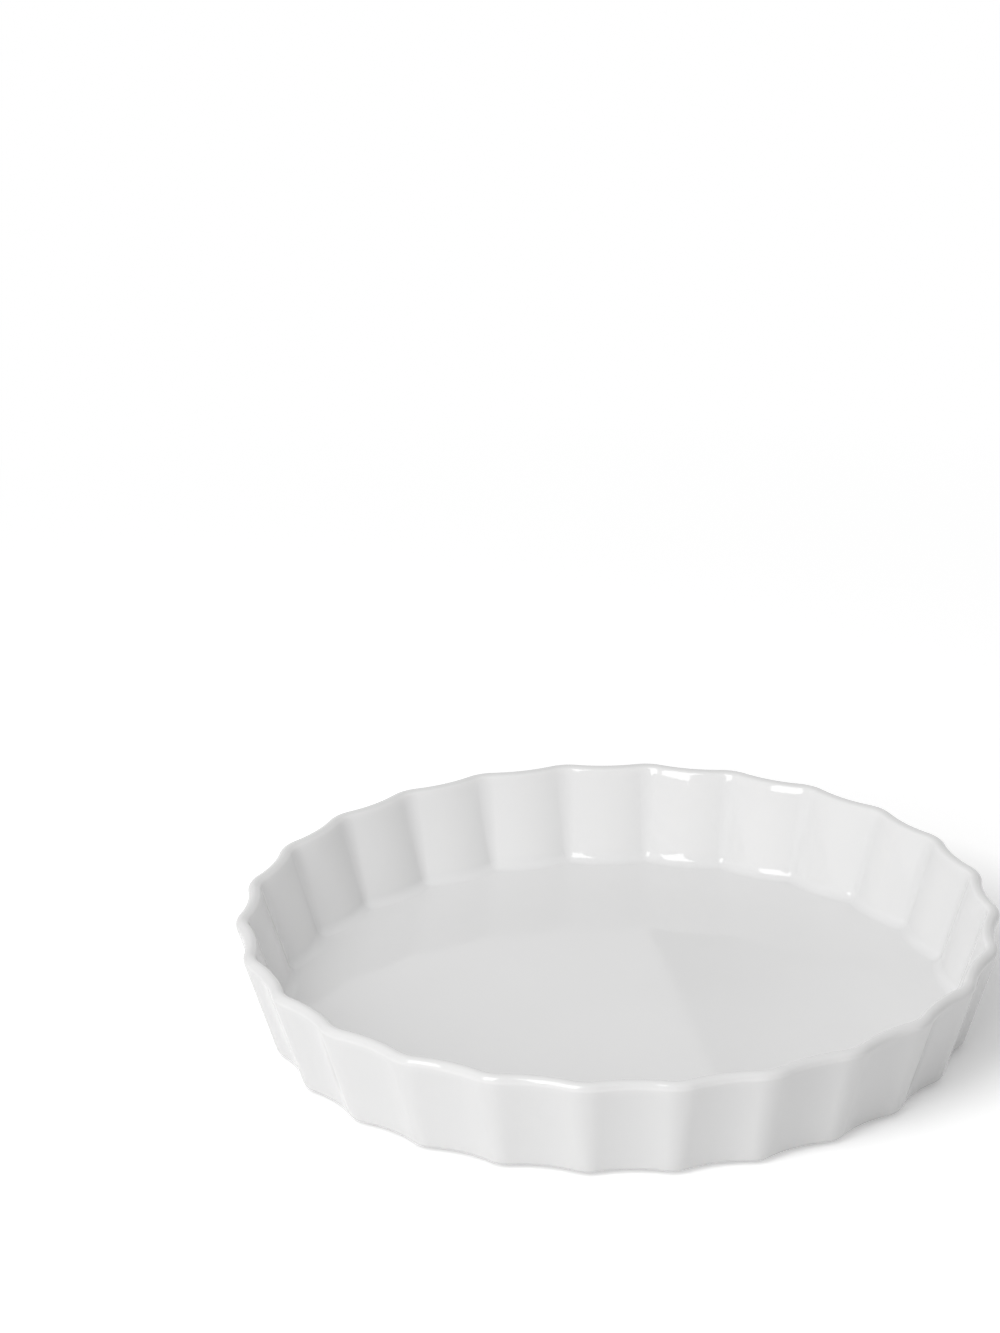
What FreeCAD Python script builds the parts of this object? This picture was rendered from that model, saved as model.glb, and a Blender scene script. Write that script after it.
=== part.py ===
import FreeCAD, Part
import math
import os

# Round fluted quiche dish in glazed porcelain.
#
# The dish is one fired porcelain body under a fused glaze. The glaze covers all of it except the foot ring
# that it stands on, so there are two coats: one over the inside, the lip and the outside, and one on the
# underside, within the foot ring.
#
# Lengths are in millimetres. +Z is up, and the origin is the centre of the foot ring's standing face.
# A ridge of the fluted wall lies on +X.

# Plan of the wall, over the glaze. Towards the base the flutes deepen and their ridges sharpen.
FLUTE_COUNT = 26
RIM_DIAMETER = 255.0  # over opposite ridges, at the widest point of the lip
BASE_DIAMETER = 233.5  # over opposite ridges, where the line of the wall meets the underside
RIM_FLUTE_DEPTH = 2.27  # from the crest of a ridge in to the middle of a flute, at the top of the lip
BASE_FLUTE_DEPTH = 2.77  # the same, at the underside
RIM_RIDGE_RADIUS = 16.0  # rounding of a ridge's crest, at the top of the lip
CREASE_RADIUS = 1.4  # inside corner between two flutes, along the edge of the floor

# Section of the dish, over the glaze
DISH_HEIGHT = 38.0
WALL_THICKNESS = 4.5
FLOOR_THICKNESS = 4.8
FLOOR_FILLET = 4.0  # inside, between the wall and the floor
BASE_ROUND = 2.5  # outside, between the wall and the underside

# Foot ring and glaze
FOOT_HEIGHT = 1.2
FOOT_RING_INSET = 2.5  # from the nearest edge of the flat underside in to the ring
FOOT_RING_WIDTH = 4.5
FOOT_RING_ROUND = 0.5
GLAZE_THICKNESS = 0.35

# Outlines that each rounded edge is lofted through
LIP_OUTLINE_COUNT = 9
CORNER_OUTLINE_COUNT = 6


# Sizes that follow from the ones above
def wall_draft():
    """Lean of the wall from upright at which its line, drawn from the base, touches the lip's circle."""
    run = LIP_CENTRE_R - BASE_DIAMETER / 2
    rise = LIP_CENTRE_Z - FOOT_HEIGHT
    return math.atan2(run, rise) + math.asin(LIP_RADIUS / math.hypot(run, rise))


def wall_reach(z):
    """Distance from the axis to the crest of a ridge on the line of the outer wall, at height z."""
    return BASE_DIAMETER / 2 + (z - FOOT_HEIGHT) * math.tan(DRAFT)


def along_wall(z, at_base, at_rim):
    """Value at height z of a size that changes evenly from the underside to the top of the lip."""
    share = (z - FOOT_HEIGHT) / (DISH_HEIGHT - FOOT_HEIGHT)
    return at_base + (at_rim - at_base) * share


HALF_PITCH = math.pi / FLUTE_COUNT
LIP_RADIUS = WALL_THICKNESS / 2
LIP_CENTRE_R = RIM_DIAMETER / 2 - LIP_RADIUS
LIP_CENTRE_Z = DISH_HEIGHT - LIP_RADIUS
DRAFT = wall_draft()
WALL_INSET = WALL_THICKNESS / math.cos(DRAFT)

BASE_CENTRE_Z = FOOT_HEIGHT + BASE_ROUND
BASE_CENTRE_R = wall_reach(BASE_CENTRE_Z) - BASE_ROUND / math.cos(DRAFT)
FLOOR_CENTRE_Z = FOOT_HEIGHT + FLOOR_THICKNESS + FLOOR_FILLET
FLOOR_CENTRE_R = wall_reach(FLOOR_CENTRE_Z) - WALL_INSET - FLOOR_FILLET / math.cos(DRAFT)
FILLET_RUN = FLOOR_FILLET * (1 / math.cos(DRAFT) - math.tan(DRAFT))
FLOOR_SHARE = FLOOR_THICKNESS / (DISH_HEIGHT - FOOT_HEIGHT)
FLOOR_RIDGE_RADIUS = CREASE_RADIUS + FILLET_RUN + WALL_INSET
BASE_RIDGE_RADIUS = (FLOOR_RIDGE_RADIUS - FLOOR_SHARE * RIM_RIDGE_RADIUS) / (1 - FLOOR_SHARE)

RING_OUTSIDE_R = BASE_CENTRE_R - BASE_FLUTE_DEPTH - FOOT_RING_INSET
RING_INSIDE_R = RING_OUTSIDE_R - FOOT_RING_WIDTH
BODY_UNDERSIDE_Z = FOOT_HEIGHT + GLAZE_THICKNESS


def polar(radius, angle, z):
    return FreeCAD.Vector(radius * math.cos(angle), radius * math.sin(angle), z)


def fluted_wire(reach, z):
    """Closed outline of tangent arcs at height z, with ridges that reach that far from the axis.

    It is the outer wall's outline at that height, offset inwards as far as the reach falls short of it.
    """
    outer_reach = wall_reach(z)
    inset = outer_reach - reach
    flute_depth = along_wall(z, BASE_FLUTE_DEPTH, RIM_FLUTE_DEPTH)
    ridge_radius = along_wall(z, BASE_RIDGE_RADIUS, RIM_RIDGE_RADIUS)
    ridge_centre_r = outer_reach - ridge_radius
    flute_r = outer_reach - flute_depth
    across = ridge_centre_r * math.cos(HALF_PITCH)
    squares = ridge_radius**2 - ridge_centre_r**2 - flute_r**2 + 2 * flute_r * across
    flute_radius = squares / (2 * (flute_r - across - ridge_radius))
    ridge_centre = polar(ridge_centre_r, 0, z)
    flute_centre = polar(flute_r + flute_radius, HALF_PITCH, z)
    towards_flute = (flute_centre - ridge_centre) / (ridge_radius + flute_radius)
    meet = ridge_centre + towards_flute * (ridge_radius - inset)
    meet_r = math.hypot(meet.x, meet.y)
    meet_angle = math.atan2(meet.y, meet.x)

    edges = []
    for flute in range(FLUTE_COUNT):
        ridge_angle = 2 * HALF_PITCH * flute
        next_ridge_angle = ridge_angle + 2 * HALF_PITCH
        ridge_start = polar(meet_r, ridge_angle - meet_angle, z)
        crest = polar(reach, ridge_angle, z)
        ridge_end = polar(meet_r, ridge_angle + meet_angle, z)
        hollow = polar(reach - flute_depth, ridge_angle + HALF_PITCH, z)
        flute_end = polar(meet_r, next_ridge_angle - meet_angle, z)
        edges.append(Part.Arc(ridge_start, crest, ridge_end).toShape())
        edges.append(Part.Arc(ridge_end, hollow, flute_end).toShape())
    return Part.Wire(edges)


def rounded_wires(centre_r, centre_z, radius, first_angle, last_angle, count):
    """Fluted outlines along an arc of the dish's section. Angles turn up from straight outwards."""
    wires = []
    for step in range(count):
        angle = first_angle + (last_angle - first_angle) * step / (count - 1)
        reach = centre_r + radius * math.cos(angle)
        height = centre_z + radius * math.sin(angle)
        wires.append(fluted_wire(reach, height))
    return wires


def dish_solid(depth):
    """The dish without its foot ring, with every face that far under the surface of the glaze."""
    down = -math.pi / 2
    base = rounded_wires(
        BASE_CENTRE_R, BASE_CENTRE_Z, BASE_ROUND - depth, down, -DRAFT, CORNER_OUTLINE_COUNT
    )
    lip = rounded_wires(
        LIP_CENTRE_R, LIP_CENTRE_Z, LIP_RADIUS - depth, -DRAFT, math.pi - DRAFT, LIP_OUTLINE_COUNT
    )
    floor = rounded_wires(
        FLOOR_CENTRE_R, FLOOR_CENTRE_Z, FLOOR_FILLET + depth, -DRAFT, down, CORNER_OUTLINE_COUNT
    )
    skins = [
        Part.makeLoft(base, False, False),
        Part.makeLoft([base[-1], lip[0]], False, True),
        Part.makeLoft(lip, False, False),
        Part.makeLoft([lip[-1], floor[0]], False, True),
        Part.makeLoft(floor, False, False),
    ]
    faces = [face for skin in skins for face in skin.Faces]
    faces.append(Part.Face(base[0]))
    faces.append(Part.Face(floor[-1]))
    shell = Part.Shell(faces)
    shell.sewShape()
    return Part.Solid(shell)


def disc(radius, bottom_z, top_z):
    return Part.makeCylinder(radius, top_z - bottom_z, FreeCAD.Vector(0, 0, bottom_z))


def foot_ring():
    """Bare ring under the body, with rounded edges along its standing face."""
    outside = disc(RING_OUTSIDE_R, 0, BODY_UNDERSIDE_Z)
    inside = disc(RING_INSIDE_R, 0, BODY_UNDERSIDE_Z)
    ring = outside.cut(inside)
    standing_edges = [edge for edge in ring.Edges if edge.BoundBox.ZMax < FOOT_RING_ROUND]
    return ring.makeFillet(FOOT_RING_ROUND, standing_edges)


def main():
    surface = dish_solid(0)
    core = dish_solid(GLAZE_THICKNESS)
    nodes = {
        "porcelain_body": core.fuse(foot_ring()).removeSplitter(),
        "glaze_coat": surface.cut(core).cut(disc(RING_OUTSIDE_R, 0, BODY_UNDERSIDE_Z)),
        "underside_glaze": disc(RING_INSIDE_R, FOOT_HEIGHT, BODY_UNDERSIDE_Z),
    }
    os.makedirs("parts", exist_ok=True)
    for name, shape in nodes.items():
        print(name, len(shape.Solids), "solid, valid:", shape.isValid(), round(shape.Volume), "mm3")
        shape.exportStep(f"parts/{name}.step")
    print("wall draft", round(math.degrees(DRAFT), 2), "degrees")
    print("ridge radius at the base", round(BASE_RIDGE_RADIUS, 2), "mm")


main()
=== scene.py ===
import math

import bmesh
import bpy
import numpy as np
from mathutils import Matrix, Vector, noise


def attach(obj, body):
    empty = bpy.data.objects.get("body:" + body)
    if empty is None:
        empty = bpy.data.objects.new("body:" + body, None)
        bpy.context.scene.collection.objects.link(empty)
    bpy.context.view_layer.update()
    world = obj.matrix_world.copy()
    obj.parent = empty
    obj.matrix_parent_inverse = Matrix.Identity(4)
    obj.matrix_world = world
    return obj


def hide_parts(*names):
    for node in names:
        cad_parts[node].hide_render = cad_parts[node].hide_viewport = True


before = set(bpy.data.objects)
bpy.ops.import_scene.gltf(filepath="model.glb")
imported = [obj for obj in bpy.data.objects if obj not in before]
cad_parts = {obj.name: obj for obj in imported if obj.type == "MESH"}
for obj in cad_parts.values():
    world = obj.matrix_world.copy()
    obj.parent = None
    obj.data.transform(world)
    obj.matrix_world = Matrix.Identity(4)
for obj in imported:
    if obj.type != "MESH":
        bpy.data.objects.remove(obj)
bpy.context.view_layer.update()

# Lengths are in metres. +Z is up, and the origin is the centre of the foot ring's standing face.
MM = 0.001

# The dish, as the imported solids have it
FLUTE_COUNT = 26
RIM_DIAMETER = 255.0 * MM
BASE_DIAMETER = 233.5 * MM
RIM_FLUTE_DEPTH = 2.27 * MM
BASE_FLUTE_DEPTH = 2.77 * MM
RIM_RIDGE_RADIUS = 16.0 * MM
CREASE_RADIUS = 1.4 * MM
DISH_HEIGHT = 38.0 * MM
WALL_THICKNESS = 4.5 * MM
FLOOR_THICKNESS = 4.8 * MM
FLOOR_FILLET = 4.0 * MM
BASE_ROUND = 2.5 * MM
FOOT_HEIGHT = 1.2 * MM
FOOT_RING_INSET = 2.5 * MM
FOOT_RING_WIDTH = 4.5 * MM
GLAZE_THICKNESS = 0.35 * MM

# How finely the glaze over the dish is drawn
RIDGE_STEPS = 14
FLUTE_STEPS = 22
WALL_STEPS = 14
LIP_STEPS = 16
CORNER_STEPS = 10
UNDERSIDE_SHARES = (0.0, 0.25, 0.5, 0.75)  # of the way out from the foot ring to the underside's edge
FLOOR_SHARES = (0.97, 0.94, 0.90, 0.86, 0.81, 0.75, 0.68, 0.60, 0.52, 0.44, 0.36, 0.28, 0.20, 0.12, 0.05)
FLOOR_ROUNDING = 0.2  # share of the floor's radius in which its fluted outline turns into a circle
HALVED_WITHIN = 0.65  # share of the floor's radius within which rings have half the points
QUARTERED_WITHIN = 0.30  # the same, for a quarter of the points

# Glaze within the foot ring. Its rings are shares of its radius, and those of its thin edge also have the lift
# of the lower face there, as a share of the thickness.
RECESS_POINTS = 288
RECESS_FLAT_SHARES = (0.05, 0.25, 0.5, 0.75, 0.95, 0.985)
RECESS_EDGE = ((0.997, 0.3), (1.0, 0.8))
RECESS_TOP_SHARES = (1.0, 0.5, 0.05)

# How convex the glaze counts as: from -1 in hollows, where it pools, to 1 over the lip, whose glaze is painted
# a little darker there as shade.
# A ridge bend is added on the ridges and taken off in the flutes.
BASE_BEND = 0.4
BASE_RIDGE_BEND = 0.35
WALL_RIDGE_BEND = 0.6
FILLET_BEND = -0.7
FILLET_RIDGE_BEND = -0.3
FLOOR_EDGE_BEND = -0.4
FLOOR_EDGE_FROM = 0.86  # share of the floor's radius where its edge begins
FLOOR_EDGE_WIDTH = 0.12
PAINTED_SHADE_FROM = 0.75  # bend from which the glaze is painted a little darker, as shade on the lip
# Lean and rise of the lip's round over which its painted shade comes in
LIP_SHADE_LEAN = math.radians(20)
LIP_SHADE_RISE = 0.4

# Unevenness of the fired surface, always inwards, so that it stays within the solids
SAG_DEPTH = 0.03 * MM
SAG_WAVES_PER_METRE = 22

# Camera, from the photograph's outline of the dish
CAMERA_LENS = 141.5
SENSOR = 36.0
CAMERA_ELEVATION = math.radians(22.37)
CAMERA_TURN = math.radians(-0.61)
CAMERA_ROLL = math.radians(-0.48)
CAMERA_DISTANCE = 1.7624
DISH_RIGHT_OF_AXIS = 0.0397
DISH_BELOW_AXIS = 0.1173


# Sizes that follow from the ones above
def wall_reach(z):
    """Distance from the axis to the crest of a ridge on the line of the outer wall, at height z."""
    return BASE_DIAMETER / 2 + (z - FOOT_HEIGHT) * math.tan(DRAFT)


def wall_draft():
    """Lean of the wall from upright at which its line, drawn from the base, touches the lip's circle."""
    run = LIP_CENTRE_R - BASE_DIAMETER / 2
    rise = LIP_CENTRE_Z - FOOT_HEIGHT
    return math.atan2(run, rise) + math.asin(LIP_RADIUS / math.hypot(run, rise))


def along_wall(z, at_base, at_rim):
    """Value at height z of a size that changes evenly from the underside to the top of the lip."""
    share = (z - FOOT_HEIGHT) / (DISH_HEIGHT - FOOT_HEIGHT)
    return at_base + (at_rim - at_base) * share


HALF_PITCH = math.pi / FLUTE_COUNT
LIP_RADIUS = WALL_THICKNESS / 2
LIP_CENTRE_R = RIM_DIAMETER / 2 - LIP_RADIUS
LIP_CENTRE_Z = DISH_HEIGHT - LIP_RADIUS
DRAFT = wall_draft()
WALL_INSET = WALL_THICKNESS / math.cos(DRAFT)
BASE_CENTRE_Z = FOOT_HEIGHT + BASE_ROUND
BASE_CENTRE_R = wall_reach(BASE_CENTRE_Z) - BASE_ROUND / math.cos(DRAFT)
FLOOR_CENTRE_Z = FOOT_HEIGHT + FLOOR_THICKNESS + FLOOR_FILLET
FLOOR_CENTRE_R = wall_reach(FLOOR_CENTRE_Z) - WALL_INSET - FLOOR_FILLET / math.cos(DRAFT)
FILLET_RUN = FLOOR_FILLET * (1 / math.cos(DRAFT) - math.tan(DRAFT))
FLOOR_SHARE = FLOOR_THICKNESS / (DISH_HEIGHT - FOOT_HEIGHT)
FLOOR_RIDGE_RADIUS = CREASE_RADIUS + FILLET_RUN + WALL_INSET
BASE_RIDGE_RADIUS = (FLOOR_RIDGE_RADIUS - FLOOR_SHARE * RIM_RIDGE_RADIUS) / (1 - FLOOR_SHARE)
RING_OUTSIDE_R = BASE_CENTRE_R - BASE_FLUTE_DEPTH - FOOT_RING_INSET
RING_INSIDE_R = RING_OUTSIDE_R - FOOT_RING_WIDTH


# Rings of points, as complex numbers in plan
def fluted_ring(reach, z):
    """Points round the fluted outline at height z whose ridges reach that far from the axis."""
    outer_reach = wall_reach(z)
    inset = outer_reach - reach
    ridge_radius = along_wall(z, BASE_RIDGE_RADIUS, RIM_RIDGE_RADIUS)
    ridge_centre = outer_reach - ridge_radius
    flute_r = outer_reach - along_wall(z, BASE_FLUTE_DEPTH, RIM_FLUTE_DEPTH)
    across = ridge_centre * math.cos(HALF_PITCH)
    squares = ridge_radius**2 - ridge_centre**2 - flute_r**2 + 2 * flute_r * across
    flute_radius = squares / (2 * (flute_r - across - ridge_radius))
    flute_centre = (flute_r + flute_radius) * np.exp(1j * HALF_PITCH)
    turn = np.angle(flute_centre - ridge_centre)
    ridge_angles = np.linspace(-turn, turn, RIDGE_STEPS, endpoint=False)
    flute_angles = np.linspace(turn, 2 * HALF_PITCH - turn, FLUTE_STEPS, endpoint=False)
    ridge = ridge_centre + (ridge_radius - inset) * np.exp(1j * ridge_angles)
    flute = flute_centre - (flute_radius + inset) * np.exp(1j * flute_angles)
    turns = np.exp(2j * HALF_PITCH * np.arange(FLUTE_COUNT))
    return (turns[:, None] * np.concatenate([ridge, flute])).ravel()


def round_ring(like, radius):
    """A circle with its points at the same angles as another ring's."""
    return radius * like / np.abs(like)


def middle_point():
    return np.zeros(1, complex)


def smooth_step(x):
    x = np.clip(x, 0, 1)
    return x * x * (3 - 2 * x)


class Skin:
    """Rings of vertices joined by faces. Each vertex also says how convex the glaze counts as there, which
    sets its pooling and, on the lip, its painted shade.
    """

    def __init__(self):
        self.points = []
        self.pool_and_shade = []
        self.faces = []

    def ring(self, plan, z, bend=0.0, ridge_bend=0.0):
        start = len(self.points)
        wave = np.cos(FLUTE_COUNT * np.angle(plan))
        for p, w in zip(plan, wave):
            self.points.append((p.real, p.imag, z))
            self.pool_and_shade.append(float(np.clip(bend + ridge_bend * w, -1, 1)))
        return list(range(start, start + len(plan)))

    def join(self, first, second):
        """Faces between two rings: of as many points, of half as many, or a single middle point."""
        count = len(first)
        for i in range(count):
            following = (i + 1) % count
            if len(second) == count:
                self.faces.append((first[i], first[following], second[following], second[i]))
            elif len(second) == 1:
                self.faces.append((first[i], first[following], second[0]))
            elif i % 2 == 0:
                near, far = second[i // 2], second[(i // 2 + 1) % len(second)]
                after = first[(i + 2) % count]
                self.faces.append((first[i], first[following], near))
                self.faces.append((first[following], far, near))
                self.faces.append((first[following], after, far))

    def run(self, rings):
        for first, second in zip(rings, rings[1:]):
            self.join(first, second)
        return rings


def arc(centre_r, centre_z, radius, first_angle, last_angle, steps):
    """(reach, z) along an arc of the dish's section with both its ends. Angles turn up from outwards."""
    angles = np.linspace(first_angle, last_angle, steps + 1)
    return [(centre_r + radius * math.cos(a), centre_z + radius * math.sin(a)) for a in angles]


def ruled_rings(start, end, steps):
    """Rings and heights on the straight lines between the outlines at two (reach, z), without these."""
    first, last = fluted_ring(*start), fluted_ring(*end)
    shares = np.linspace(0, 1, steps + 1)[1:-1]
    return [(first + s * (last - first), start[1] + s * (end[1] - start[1])) for s in shares]


def lip_shade_bend(reach, z):
    """How convex the glaze counts as on the lip, which sets its painted shade: fully so over its top and its
    outer shoulder.
    """
    angle = math.atan2(z - LIP_CENTRE_Z, reach - LIP_CENTRE_R)
    rise = math.sin(angle + LIP_SHADE_LEAN) - math.sin(LIP_SHADE_LEAN)
    return PAINTED_SHADE_FROM + (1 - PAINTED_SHADE_FROM) * float(smooth_step(rise / LIP_SHADE_RISE))


def dish_rings(skin, depth, coarseness=1):
    """Joined rings that far under the surface, from the foot ring over the lip to the floor's middle."""
    down = -math.pi / 2
    corner_steps = CORNER_STEPS // coarseness
    wall_steps = WALL_STEPS // coarseness
    lip_steps = LIP_STEPS // coarseness
    base = arc(BASE_CENTRE_R, BASE_CENTRE_Z, BASE_ROUND - depth, down, -DRAFT, corner_steps)
    lip = arc(LIP_CENTRE_R, LIP_CENTRE_Z, LIP_RADIUS - depth, -DRAFT, math.pi - DRAFT, lip_steps)
    fillet = arc(FLOOR_CENTRE_R, FLOOR_CENTRE_Z, FLOOR_FILLET + depth, -DRAFT, down, corner_steps)
    rings = []

    def add(plan, z, **convexity):
        rings.append(skin.ring(plan[::coarseness], z, **convexity))

    underside_z = base[0][1]
    edge = fluted_ring(*base[0])
    circle = round_ring(edge, RING_OUTSIDE_R)
    for share in UNDERSIDE_SHARES:
        add(circle + share * (edge - circle), underside_z)

    for reach, z in base:
        add(fluted_ring(reach, z), z, bend=BASE_BEND, ridge_bend=BASE_RIDGE_BEND)
    for plan, z in ruled_rings(base[-1], lip[0], wall_steps):
        add(plan, z, ridge_bend=WALL_RIDGE_BEND)
    # The lip's bend carries its painted shade
    for reach, z in lip:
        add(fluted_ring(reach, z), z, bend=lip_shade_bend(reach, z))
    for plan, z in ruled_rings(lip[-1], fillet[0], wall_steps):
        add(plan, z, ridge_bend=-WALL_RIDGE_BEND)
    for reach, z in fillet:
        add(fluted_ring(reach, z), z, bend=FILLET_BEND, ridge_bend=FILLET_RIDGE_BEND)

    floor_z = fillet[-1][1]
    edge = fluted_ring(*fillet[-1])
    circle = round_ring(edge, np.abs(edge).mean())
    for share in FLOOR_SHARES:
        rounding = smooth_step((1 - share) / FLOOR_ROUNDING)
        plan = share * (edge + rounding * (circle - edge))
        if share < HALVED_WITHIN:
            plan = plan[::2]
        if share < QUARTERED_WITHIN:
            plan = plan[::2]
        near_edge = smooth_step((share - FLOOR_EDGE_FROM) / FLOOR_EDGE_WIDTH)
        add(plan, floor_z, bend=FLOOR_EDGE_BEND * near_edge)
    rings.append(skin.ring(middle_point(), floor_z))
    return skin.run(rings)


def sag(mesh, first, last):
    """Lets the fired surface wander inwards a little, as glaze does, on a range of vertices."""
    normals = [v.normal.copy() for v in mesh.vertices]
    for i in range(first, last):
        v = mesh.vertices[i]
        wander = 0.5 + 0.5 * noise.noise(v.co * SAG_WAVES_PER_METRE)
        v.co -= normals[i] * SAG_DEPTH * max(0.0, min(1.0, wander))


def mesh_object(name, skin, material):
    mesh = bpy.data.meshes.new(name)
    mesh.from_pydata(skin.points, [], skin.faces)
    work = bmesh.new()
    work.from_mesh(mesh)
    bmesh.ops.recalc_face_normals(work, faces=work.faces)
    work.to_mesh(mesh)
    work.free()
    mesh.shade_smooth()
    # Carries the glaze's pooling and the lip's painted shade
    pool_and_shade = mesh.attributes.new("glaze_pool_and_lip_shade", "FLOAT", "POINT")
    pool_and_shade.data.foreach_set("value", np.array(skin.pool_and_shade, np.float32))
    mesh.materials.append(material)
    made = bpy.data.objects.new(name, mesh)
    bpy.context.scene.collection.objects.link(made)
    return made


# Material nodes
def add_node(tree, kind, inputs=None, **settings):
    made = tree.nodes.new(kind)
    for name, value in settings.items():
        setattr(made, name, value)
    for name, value in (inputs or {}).items():
        if isinstance(value, bpy.types.NodeSocket):
            tree.links.new(value, made.inputs[name])
        else:
            made.inputs[name].default_value = value
    return made


def new_material(name):
    material = bpy.data.materials.new(name)
    material.use_nodes = True
    material.node_tree.nodes.clear()
    return material, material.node_tree


def noise_texture(tree, coordinates, scale, detail):
    inputs = {"Vector": coordinates, "Scale": scale, "Detail": detail}
    return add_node(tree, "ShaderNodeTexNoise", inputs).outputs["Fac"]


def map_range(tree, value, from_low, from_high, to_low, to_high):
    inputs = {
        "Value": value,
        "From Min": from_low,
        "From Max": from_high,
        "To Min": to_low,
        "To Max": to_high,
    }
    return add_node(tree, "ShaderNodeMapRange", inputs).outputs["Result"]


def spread(tree, value, low, high):
    """Noise mapped to a range, which most of it then fills."""
    return map_range(tree, value, NOISE_LOW, NOISE_HIGH, low, high)


def mix_colour(tree, factor, first, second, blend="MIX"):
    made = add_node(tree, "ShaderNodeMix", data_type="RGBA", blend_type=blend)
    for name, value in (("Factor", factor), ("A", first), ("B", second)):
        socket = next(s for s in made.inputs if s.name == name and s.enabled)
        if isinstance(value, bpy.types.NodeSocket):
            tree.links.new(value, socket)
        else:
            socket.default_value = value
    return next(s for s in made.outputs if s.name == "Result" and s.enabled)


def grey(value, warmth=0.0):
    return (value + warmth, value, value - warmth, 1.0)


WHITE = grey(1.0)
NOISE_LOW = 0.3
NOISE_HIGH = 0.7

# Glaze. Scales are in waves or cells per metre.
GLAZE_ON_EDGES = grey(0.86, 0.002)
GLAZE_IN_HOLLOWS = grey(0.84)
# Painted shade: the darker colour over the lip's top and outer shoulder
LIP_PAINTED_SHADE = grey(0.79, 0.002)
MOTTLE_SCALE = 24.0
MOTTLE_COLOUR = grey(0.985)
SPECK_SCALE = 45.0
SPECK_CORE = 0.008
SPECK_EDGE = 0.018
SPECK_STRENGTH = 0.55
SPECK_COLOUR = grey(0.30, 0.03)
PEEL_SCALE = 150.0
PEEL_STRENGTH = 0.2
PEEL_HEIGHT = 0.01 * MM
SMEAR_SCALE = 60.0
GLAZE_ROUGHNESS = (0.02, 0.045)
GLAZE_IOR = 1.52


def glaze_material():
    """White glaze with faint clouds, a few iron specks, a gloss that varies a little and painted shade on the
    lip.
    """
    material, tree = new_material("white_glaze")
    coordinates = add_node(tree, "ShaderNodeTexCoord").outputs["Object"]
    pool_and_shade = add_node(tree, "ShaderNodeAttribute", attribute_name="glaze_pool_and_lip_shade").outputs["Fac"]
    pooled = map_range(tree, pool_and_shade, -1.0, 1.0, 1.0, 0.0)
    body = mix_colour(tree, pooled, GLAZE_ON_EDGES, GLAZE_IN_HOLLOWS)
    # Painted shade: the lip's glaze mixed towards the darker colour
    lip_shade_share = map_range(tree, pool_and_shade, PAINTED_SHADE_FROM, 1.0, 0.0, 1.0)
    body = mix_colour(tree, lip_shade_share, body, LIP_PAINTED_SHADE)
    mottle = spread(tree, noise_texture(tree, coordinates, MOTTLE_SCALE, detail=4.0), 0.0, 1.0)
    mottled = mix_colour(tree, mottle, MOTTLE_COLOUR, WHITE)
    colour = mix_colour(tree, 1.0, body, mottled, "MULTIPLY")
    cells = add_node(tree, "ShaderNodeTexVoronoi", {"Vector": coordinates, "Scale": SPECK_SCALE})
    speck = map_range(tree, cells.outputs["Distance"], SPECK_CORE, SPECK_EDGE, SPECK_STRENGTH, 0.0)
    colour = mix_colour(tree, speck, colour, SPECK_COLOUR)

    peel = noise_texture(tree, coordinates, PEEL_SCALE, detail=2.0)
    bump_inputs = {"Height": peel, "Strength": PEEL_STRENGTH, "Distance": PEEL_HEIGHT}
    bump = add_node(tree, "ShaderNodeBump", bump_inputs)
    smears = noise_texture(tree, coordinates, SMEAR_SCALE, detail=5.0)
    shader_inputs = {
        "Base Color": colour,
        "Roughness": spread(tree, smears, *GLAZE_ROUGHNESS),
        "IOR": GLAZE_IOR,
        "Normal": bump.outputs["Normal"],
    }
    shader = add_node(tree, "ShaderNodeBsdfPrincipled", shader_inputs)
    add_node(tree, "ShaderNodeOutputMaterial", {"Surface": shader.outputs["BSDF"]})
    return material


# Bare porcelain
BISCUIT_DULL = grey(0.70, 0.02)
BISCUIT_CLEAN = grey(0.80, 0.02)
CLOUD_SCALE = 90.0
RUB_SCALE = 420.0
RUB_FROM = 0.56
RUB_TO = 0.70
RUB_STRENGTH = 0.6
RUB_COLOUR = grey(0.42, 0.015)
GRAIN_SCALE = 2600.0
GRAIN_STRENGTH = 0.6
GRAIN_HEIGHT = 0.06 * MM
BISCUIT_ROUGHNESS = (0.62, 0.78)


def biscuit_material():
    """Matt bare porcelain with a fine grain, clouds and dark rubs."""
    material, tree = new_material("biscuit_porcelain")
    coordinates = add_node(tree, "ShaderNodeTexCoord").outputs["Object"]
    clouds = spread(tree, noise_texture(tree, coordinates, CLOUD_SCALE, detail=4.0), 0.0, 1.0)
    body = mix_colour(tree, clouds, BISCUIT_DULL, BISCUIT_CLEAN)
    rubs = noise_texture(tree, coordinates, RUB_SCALE, detail=5.0)
    rubbed = map_range(tree, rubs, RUB_FROM, RUB_TO, 0.0, RUB_STRENGTH)
    colour = mix_colour(tree, rubbed, body, RUB_COLOUR)
    grain = noise_texture(tree, coordinates, GRAIN_SCALE, detail=3.0)
    bump_inputs = {"Height": grain, "Strength": GRAIN_STRENGTH, "Distance": GRAIN_HEIGHT}
    bump = add_node(tree, "ShaderNodeBump", bump_inputs)
    shader_inputs = {
        "Base Color": colour,
        "Roughness": map_range(tree, clouds, 0.0, 1.0, *BISCUIT_ROUGHNESS),
        "Normal": bump.outputs["Normal"],
    }
    shader = add_node(tree, "ShaderNodeBsdfPrincipled", shader_inputs)
    add_node(tree, "ShaderNodeOutputMaterial", {"Surface": shader.outputs["BSDF"]})
    return material


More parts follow.
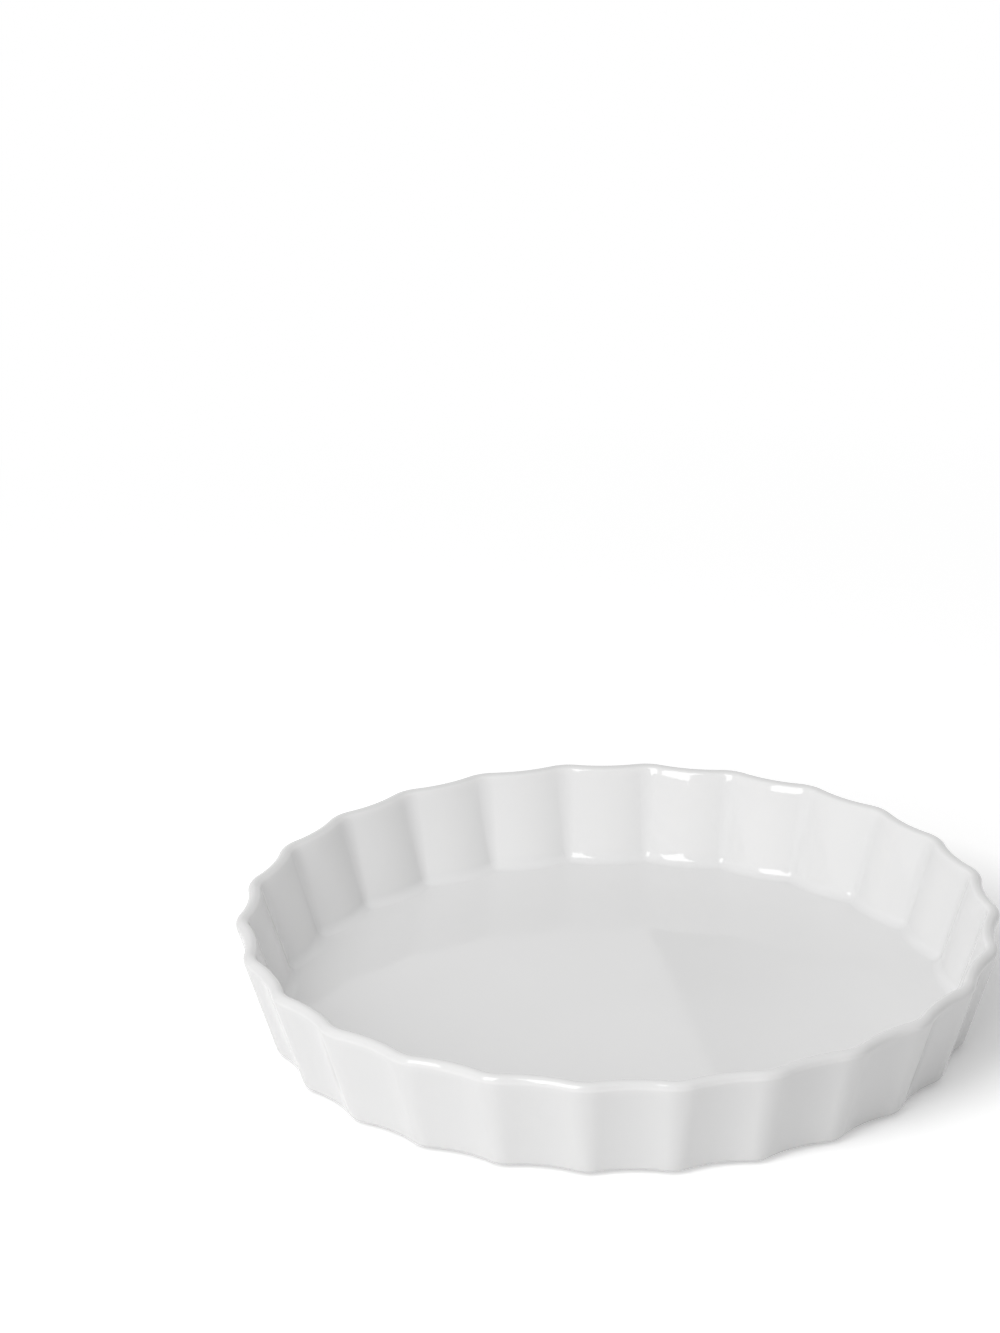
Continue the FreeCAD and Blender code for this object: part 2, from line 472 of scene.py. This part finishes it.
# Pieces
def dish_glaze(material):
    """The glaze over the inside, the lip and the outside. Its face against the body has fewer points."""
    skin = Skin()
    outer = dish_rings(skin, 0.0)
    outer_end = len(skin.points)
    inner = dish_rings(skin, GLAZE_THICKNESS, coarseness=2)
    skin.join(outer[0], inner[0])
    made = mesh_object("dish_glaze", skin, material)
    sag(made.data, 0, outer_end)
    return made


def recess_glaze(material):
    """The glaze within the foot ring: a disc with an edge that thins where it meets the ring."""
    skin = Skin()
    circle = RING_INSIDE_R * np.exp(2j * math.pi * np.arange(RECESS_POINTS) / RECESS_POINTS)
    top_z = FOOT_HEIGHT + GLAZE_THICKNESS
    lower = [skin.ring(share * circle, FOOT_HEIGHT) for share in RECESS_FLAT_SHARES]
    for share, lift in RECESS_EDGE:
        lower.append(skin.ring(share * circle, FOOT_HEIGHT + lift * GLAZE_THICKNESS))
    upper = [skin.ring(share * circle, top_z) for share in RECESS_TOP_SHARES]
    middle_low = skin.ring(middle_point(), FOOT_HEIGHT)
    middle_high = skin.ring(middle_point(), top_z)
    skin.run(lower + upper)
    skin.join(lower[0], middle_low)
    skin.join(upper[-1], middle_high)
    return mesh_object("recess_glaze", skin, material)


def add_dish():
    glaze = glaze_material()
    coat = dish_glaze(glaze)
    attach(coat, "root")
    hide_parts("glaze_coat")
    recess = recess_glaze(glaze)
    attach(recess, "root")
    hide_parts("underside_glaze")
    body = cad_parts["porcelain_body"]
    body.data.materials.clear()
    body.data.materials.append(biscuit_material())


# Stage
def seen_directly(tree):
    """1 for rays from the camera or from gloss or glass, 0 for rays that light things."""
    path = add_node(tree, "ShaderNodeLightPath").outputs
    gloss = add_node(tree, "ShaderNodeMath", operation="MAXIMUM")
    tree.links.new(path["Is Camera Ray"], gloss.inputs[0])
    tree.links.new(path["Is Glossy Ray"], gloss.inputs[1])
    seen = add_node(tree, "ShaderNodeMath", operation="MAXIMUM")
    tree.links.new(gloss.outputs[0], seen.inputs[0])
    tree.links.new(path["Is Transmission Ray"], seen.inputs[1])
    return seen.outputs[0]


def mix_shaders(tree, factor, first, second):
    made = add_node(tree, "ShaderNodeMixShader", {0: factor})
    tree.links.new(first, made.inputs[1])
    tree.links.new(second, made.inputs[2])
    return made.outputs[0]


def add_panel(name, corners, material):
    mesh = bpy.data.meshes.new(name)
    mesh.from_pydata(corners, [], [(0, 1, 2, 3)])
    mesh.materials.append(material)
    panel = bpy.data.objects.new(name, mesh)
    bpy.context.scene.collection.objects.link(panel)
    return panel


def add_card(name, corners, material):
    """A panel that the camera doesn't see."""
    card = add_panel(name, corners, material)
    card.visible_camera = False
    return card


FLOOR_HALF = 4.0
FLOOR_COLOUR = grey(0.78)
FLOOR_LIFT = 0.45
# Smaller lift around the shadow's centre: painted shadow, darker on the floor and in the dish's gloss
SHADOW_LIFT = 0.18
SHADOW_CENTRE = (0.04, 0.03, 0.0)
SHADOW_FROM = 0.090  # distances from the shadow's centre between which its lift gives way to the floor's
SHADOW_TO = 0.140
SHADOW_REACH = 0.30  # distances from the dish's axis between which the floor fades to white
WHITE_FROM = 0.60


def floor_material():
    """Pale floor. Seen directly it is lifted to white, fully so away from the dish and its shadow."""
    material, tree = new_material("pale_floor")
    plain = add_node(tree, "ShaderNodeBsdfDiffuse", {"Color": FLOOR_COLOUR}).outputs[0]
    place = add_node(tree, "ShaderNodeTexCoord").outputs["Object"]
    from_axis = add_node(tree, "ShaderNodeVectorMath", {0: place}, operation="LENGTH")
    ends = {0: place, 1: SHADOW_CENTRE}
    from_shadow = add_node(tree, "ShaderNodeVectorMath", ends, operation="DISTANCE")
    shadow_distance = from_shadow.outputs["Value"]
    strength = map_range(tree, shadow_distance, SHADOW_FROM, SHADOW_TO, SHADOW_LIFT, FLOOR_LIFT)
    lift = add_node(tree, "ShaderNodeEmission", {"Color": WHITE, "Strength": strength})
    near = add_node(tree, "ShaderNodeAddShader")
    tree.links.new(plain, near.inputs[0])
    tree.links.new(lift.outputs[0], near.inputs[1])
    white = add_node(tree, "ShaderNodeEmission", {"Color": WHITE, "Strength": 1.0})
    away = map_range(tree, from_axis.outputs["Value"], SHADOW_REACH, WHITE_FROM, 0.0, 1.0)
    direct = mix_shaders(tree, away, near.outputs[0], white.outputs[0])
    surface = mix_shaders(tree, seen_directly(tree), plain, direct)
    add_node(tree, "ShaderNodeOutputMaterial", {"Surface": surface})
    return material


def add_floor():
    signs = ((-1, -1), (1, -1), (1, 1), (-1, 1))
    corners = [(x * FLOOR_HALF, y * FLOOR_HALF, 0.0) for x, y in signs]
    add_panel("floor", corners, floor_material())


# Two pale cards far behind the dish, above the picture, that show in the gloss of the dish's floor
CARD_BACK = 2.3
CARD_BOTTOM = 0.95
CARD_TOP = 1.35
CARD_LEFT = -0.50
CARD_SEAM_FOOT = 0.060
CARD_SEAM_HEAD = 0.222
CARD_RIGHT = 0.70
CARD_TONE = 0.92
CARD_SHADE = 0.48
CARD_SHADE_FROM = 0.10
CARD_SHADE_TO = 0.30


def card_material(name, left_tone, right_tone):
    """A pale card whose tone goes from left to right."""
    material, tree = new_material(name)
    place = add_node(tree, "ShaderNodeTexCoord").outputs["Object"]
    across = add_node(tree, "ShaderNodeSeparateXYZ", {"Vector": place}).outputs["X"]
    tone = map_range(tree, across, CARD_SHADE_FROM, CARD_SHADE_TO, left_tone, right_tone)
    glow = add_node(tree, "ShaderNodeEmission", {"Color": WHITE, "Strength": tone})
    add_node(tree, "ShaderNodeOutputMaterial", {"Surface": glow.outputs[0]})
    return material


def add_pale_cards():
    left_foot, left_head = ((CARD_LEFT, CARD_BACK, z) for z in (CARD_BOTTOM, CARD_TOP))
    right_foot, right_head = ((CARD_RIGHT, CARD_BACK, z) for z in (CARD_BOTTOM, CARD_TOP))
    seam_foot = (CARD_SEAM_FOOT, CARD_BACK, CARD_BOTTOM)
    seam_head = (CARD_SEAM_HEAD, CARD_BACK, CARD_TOP)
    even = card_material("card_left", CARD_TONE, CARD_TONE)
    shaded = card_material("card_right", CARD_SHADE, CARD_TONE)
    add_card("card_left", [left_foot, seam_foot, seam_head, left_head], even)
    add_card("card_right", [seam_foot, right_foot, right_head, seam_head], shaded)


# A low dark card that takes light from the right side of the dish and doesn't show in its gloss
DARK_CARD_X = 1.0
DARK_CARD_FRONT = -0.6
DARK_CARD_BACK = 1.3
DARK_CARD_HEIGHT = 0.25
DARK_CARD_COLOUR = grey(0.03)


def add_dark_card():
    material, tree = new_material("dark_card")
    plain = add_node(tree, "ShaderNodeBsdfDiffuse", {"Color": DARK_CARD_COLOUR})
    add_node(tree, "ShaderNodeOutputMaterial", {"Surface": plain.outputs[0]})
    foot = [(DARK_CARD_X, DARK_CARD_FRONT, 0.0), (DARK_CARD_X, DARK_CARD_BACK, 0.0)]
    head = [(x, y, DARK_CARD_HEIGHT) for x, y, _ in reversed(foot)]
    card = add_card("dark_card", foot + head, material)
    card.visible_glossy = False


# Light
AMBIENT = 0.54
KEY = {"azimuth": -36, "elevation": 37, "distance": 1.5, "width": 0.66, "height": 1.25, "level": 0.52}


def set_world():
    """Even light from all round, which is white where it is seen directly."""
    world = bpy.data.worlds.new("studio")
    world.use_nodes = True
    tree = world.node_tree
    tree.nodes.clear()
    light = add_node(tree, "ShaderNodeBackground", {"Color": WHITE, "Strength": AMBIENT})
    white = add_node(tree, "ShaderNodeBackground", {"Color": WHITE, "Strength": 1.0})
    surface = mix_shaders(tree, seen_directly(tree), light.outputs[0], white.outputs[0])
    add_node(tree, "ShaderNodeOutputWorld", {"Surface": surface})
    bpy.context.scene.world = world


def add_softbox(name, azimuth, elevation, distance, width, height, level):
    """Area lamp facing the dish. Azimuth 0 is the camera's side, and level is what a white card gains."""
    a, e = math.radians(azimuth), math.radians(elevation)
    towards = Vector((math.sin(a) * math.cos(e), -math.cos(a) * math.cos(e), math.sin(e)))
    lamp = bpy.data.lights.new(name, "AREA")
    lamp.shape = "RECTANGLE"
    lamp.size = width
    lamp.size_y = height
    lamp.energy = level * math.pi**2 * distance**2
    holder = bpy.data.objects.new(name, lamp)
    holder.location = towards * distance
    holder.rotation_mode = "QUATERNION"
    holder.rotation_quaternion = (-towards).to_track_quat("-Z", "Y")
    holder.visible_camera = False
    bpy.context.scene.collection.objects.link(holder)


def add_camera():
    camera = bpy.data.cameras.new("camera")
    camera.sensor_width = SENSOR
    camera.lens = CAMERA_LENS
    holder = bpy.data.objects.new("camera", camera)
    bpy.context.scene.collection.objects.link(holder)
    turn = Matrix.Rotation(CAMERA_TURN, 4, "Z")
    tilt = Matrix.Rotation(math.pi / 2 - CAMERA_ELEVATION, 4, "X")
    roll = Matrix.Rotation(CAMERA_ROLL, 4, "Z")
    back = Matrix.Translation(Vector((-DISH_RIGHT_OF_AXIS, DISH_BELOW_AXIS, CAMERA_DISTANCE)))
    holder.matrix_world = turn @ tilt @ roll @ back
    bpy.context.scene.camera = holder


def main():
    bpy.context.scene.view_settings.view_transform = "Standard"
    add_dish()
    add_floor()
    add_pale_cards()
    add_dark_card()
    set_world()
    add_softbox("key", **KEY)
    add_camera()


main()
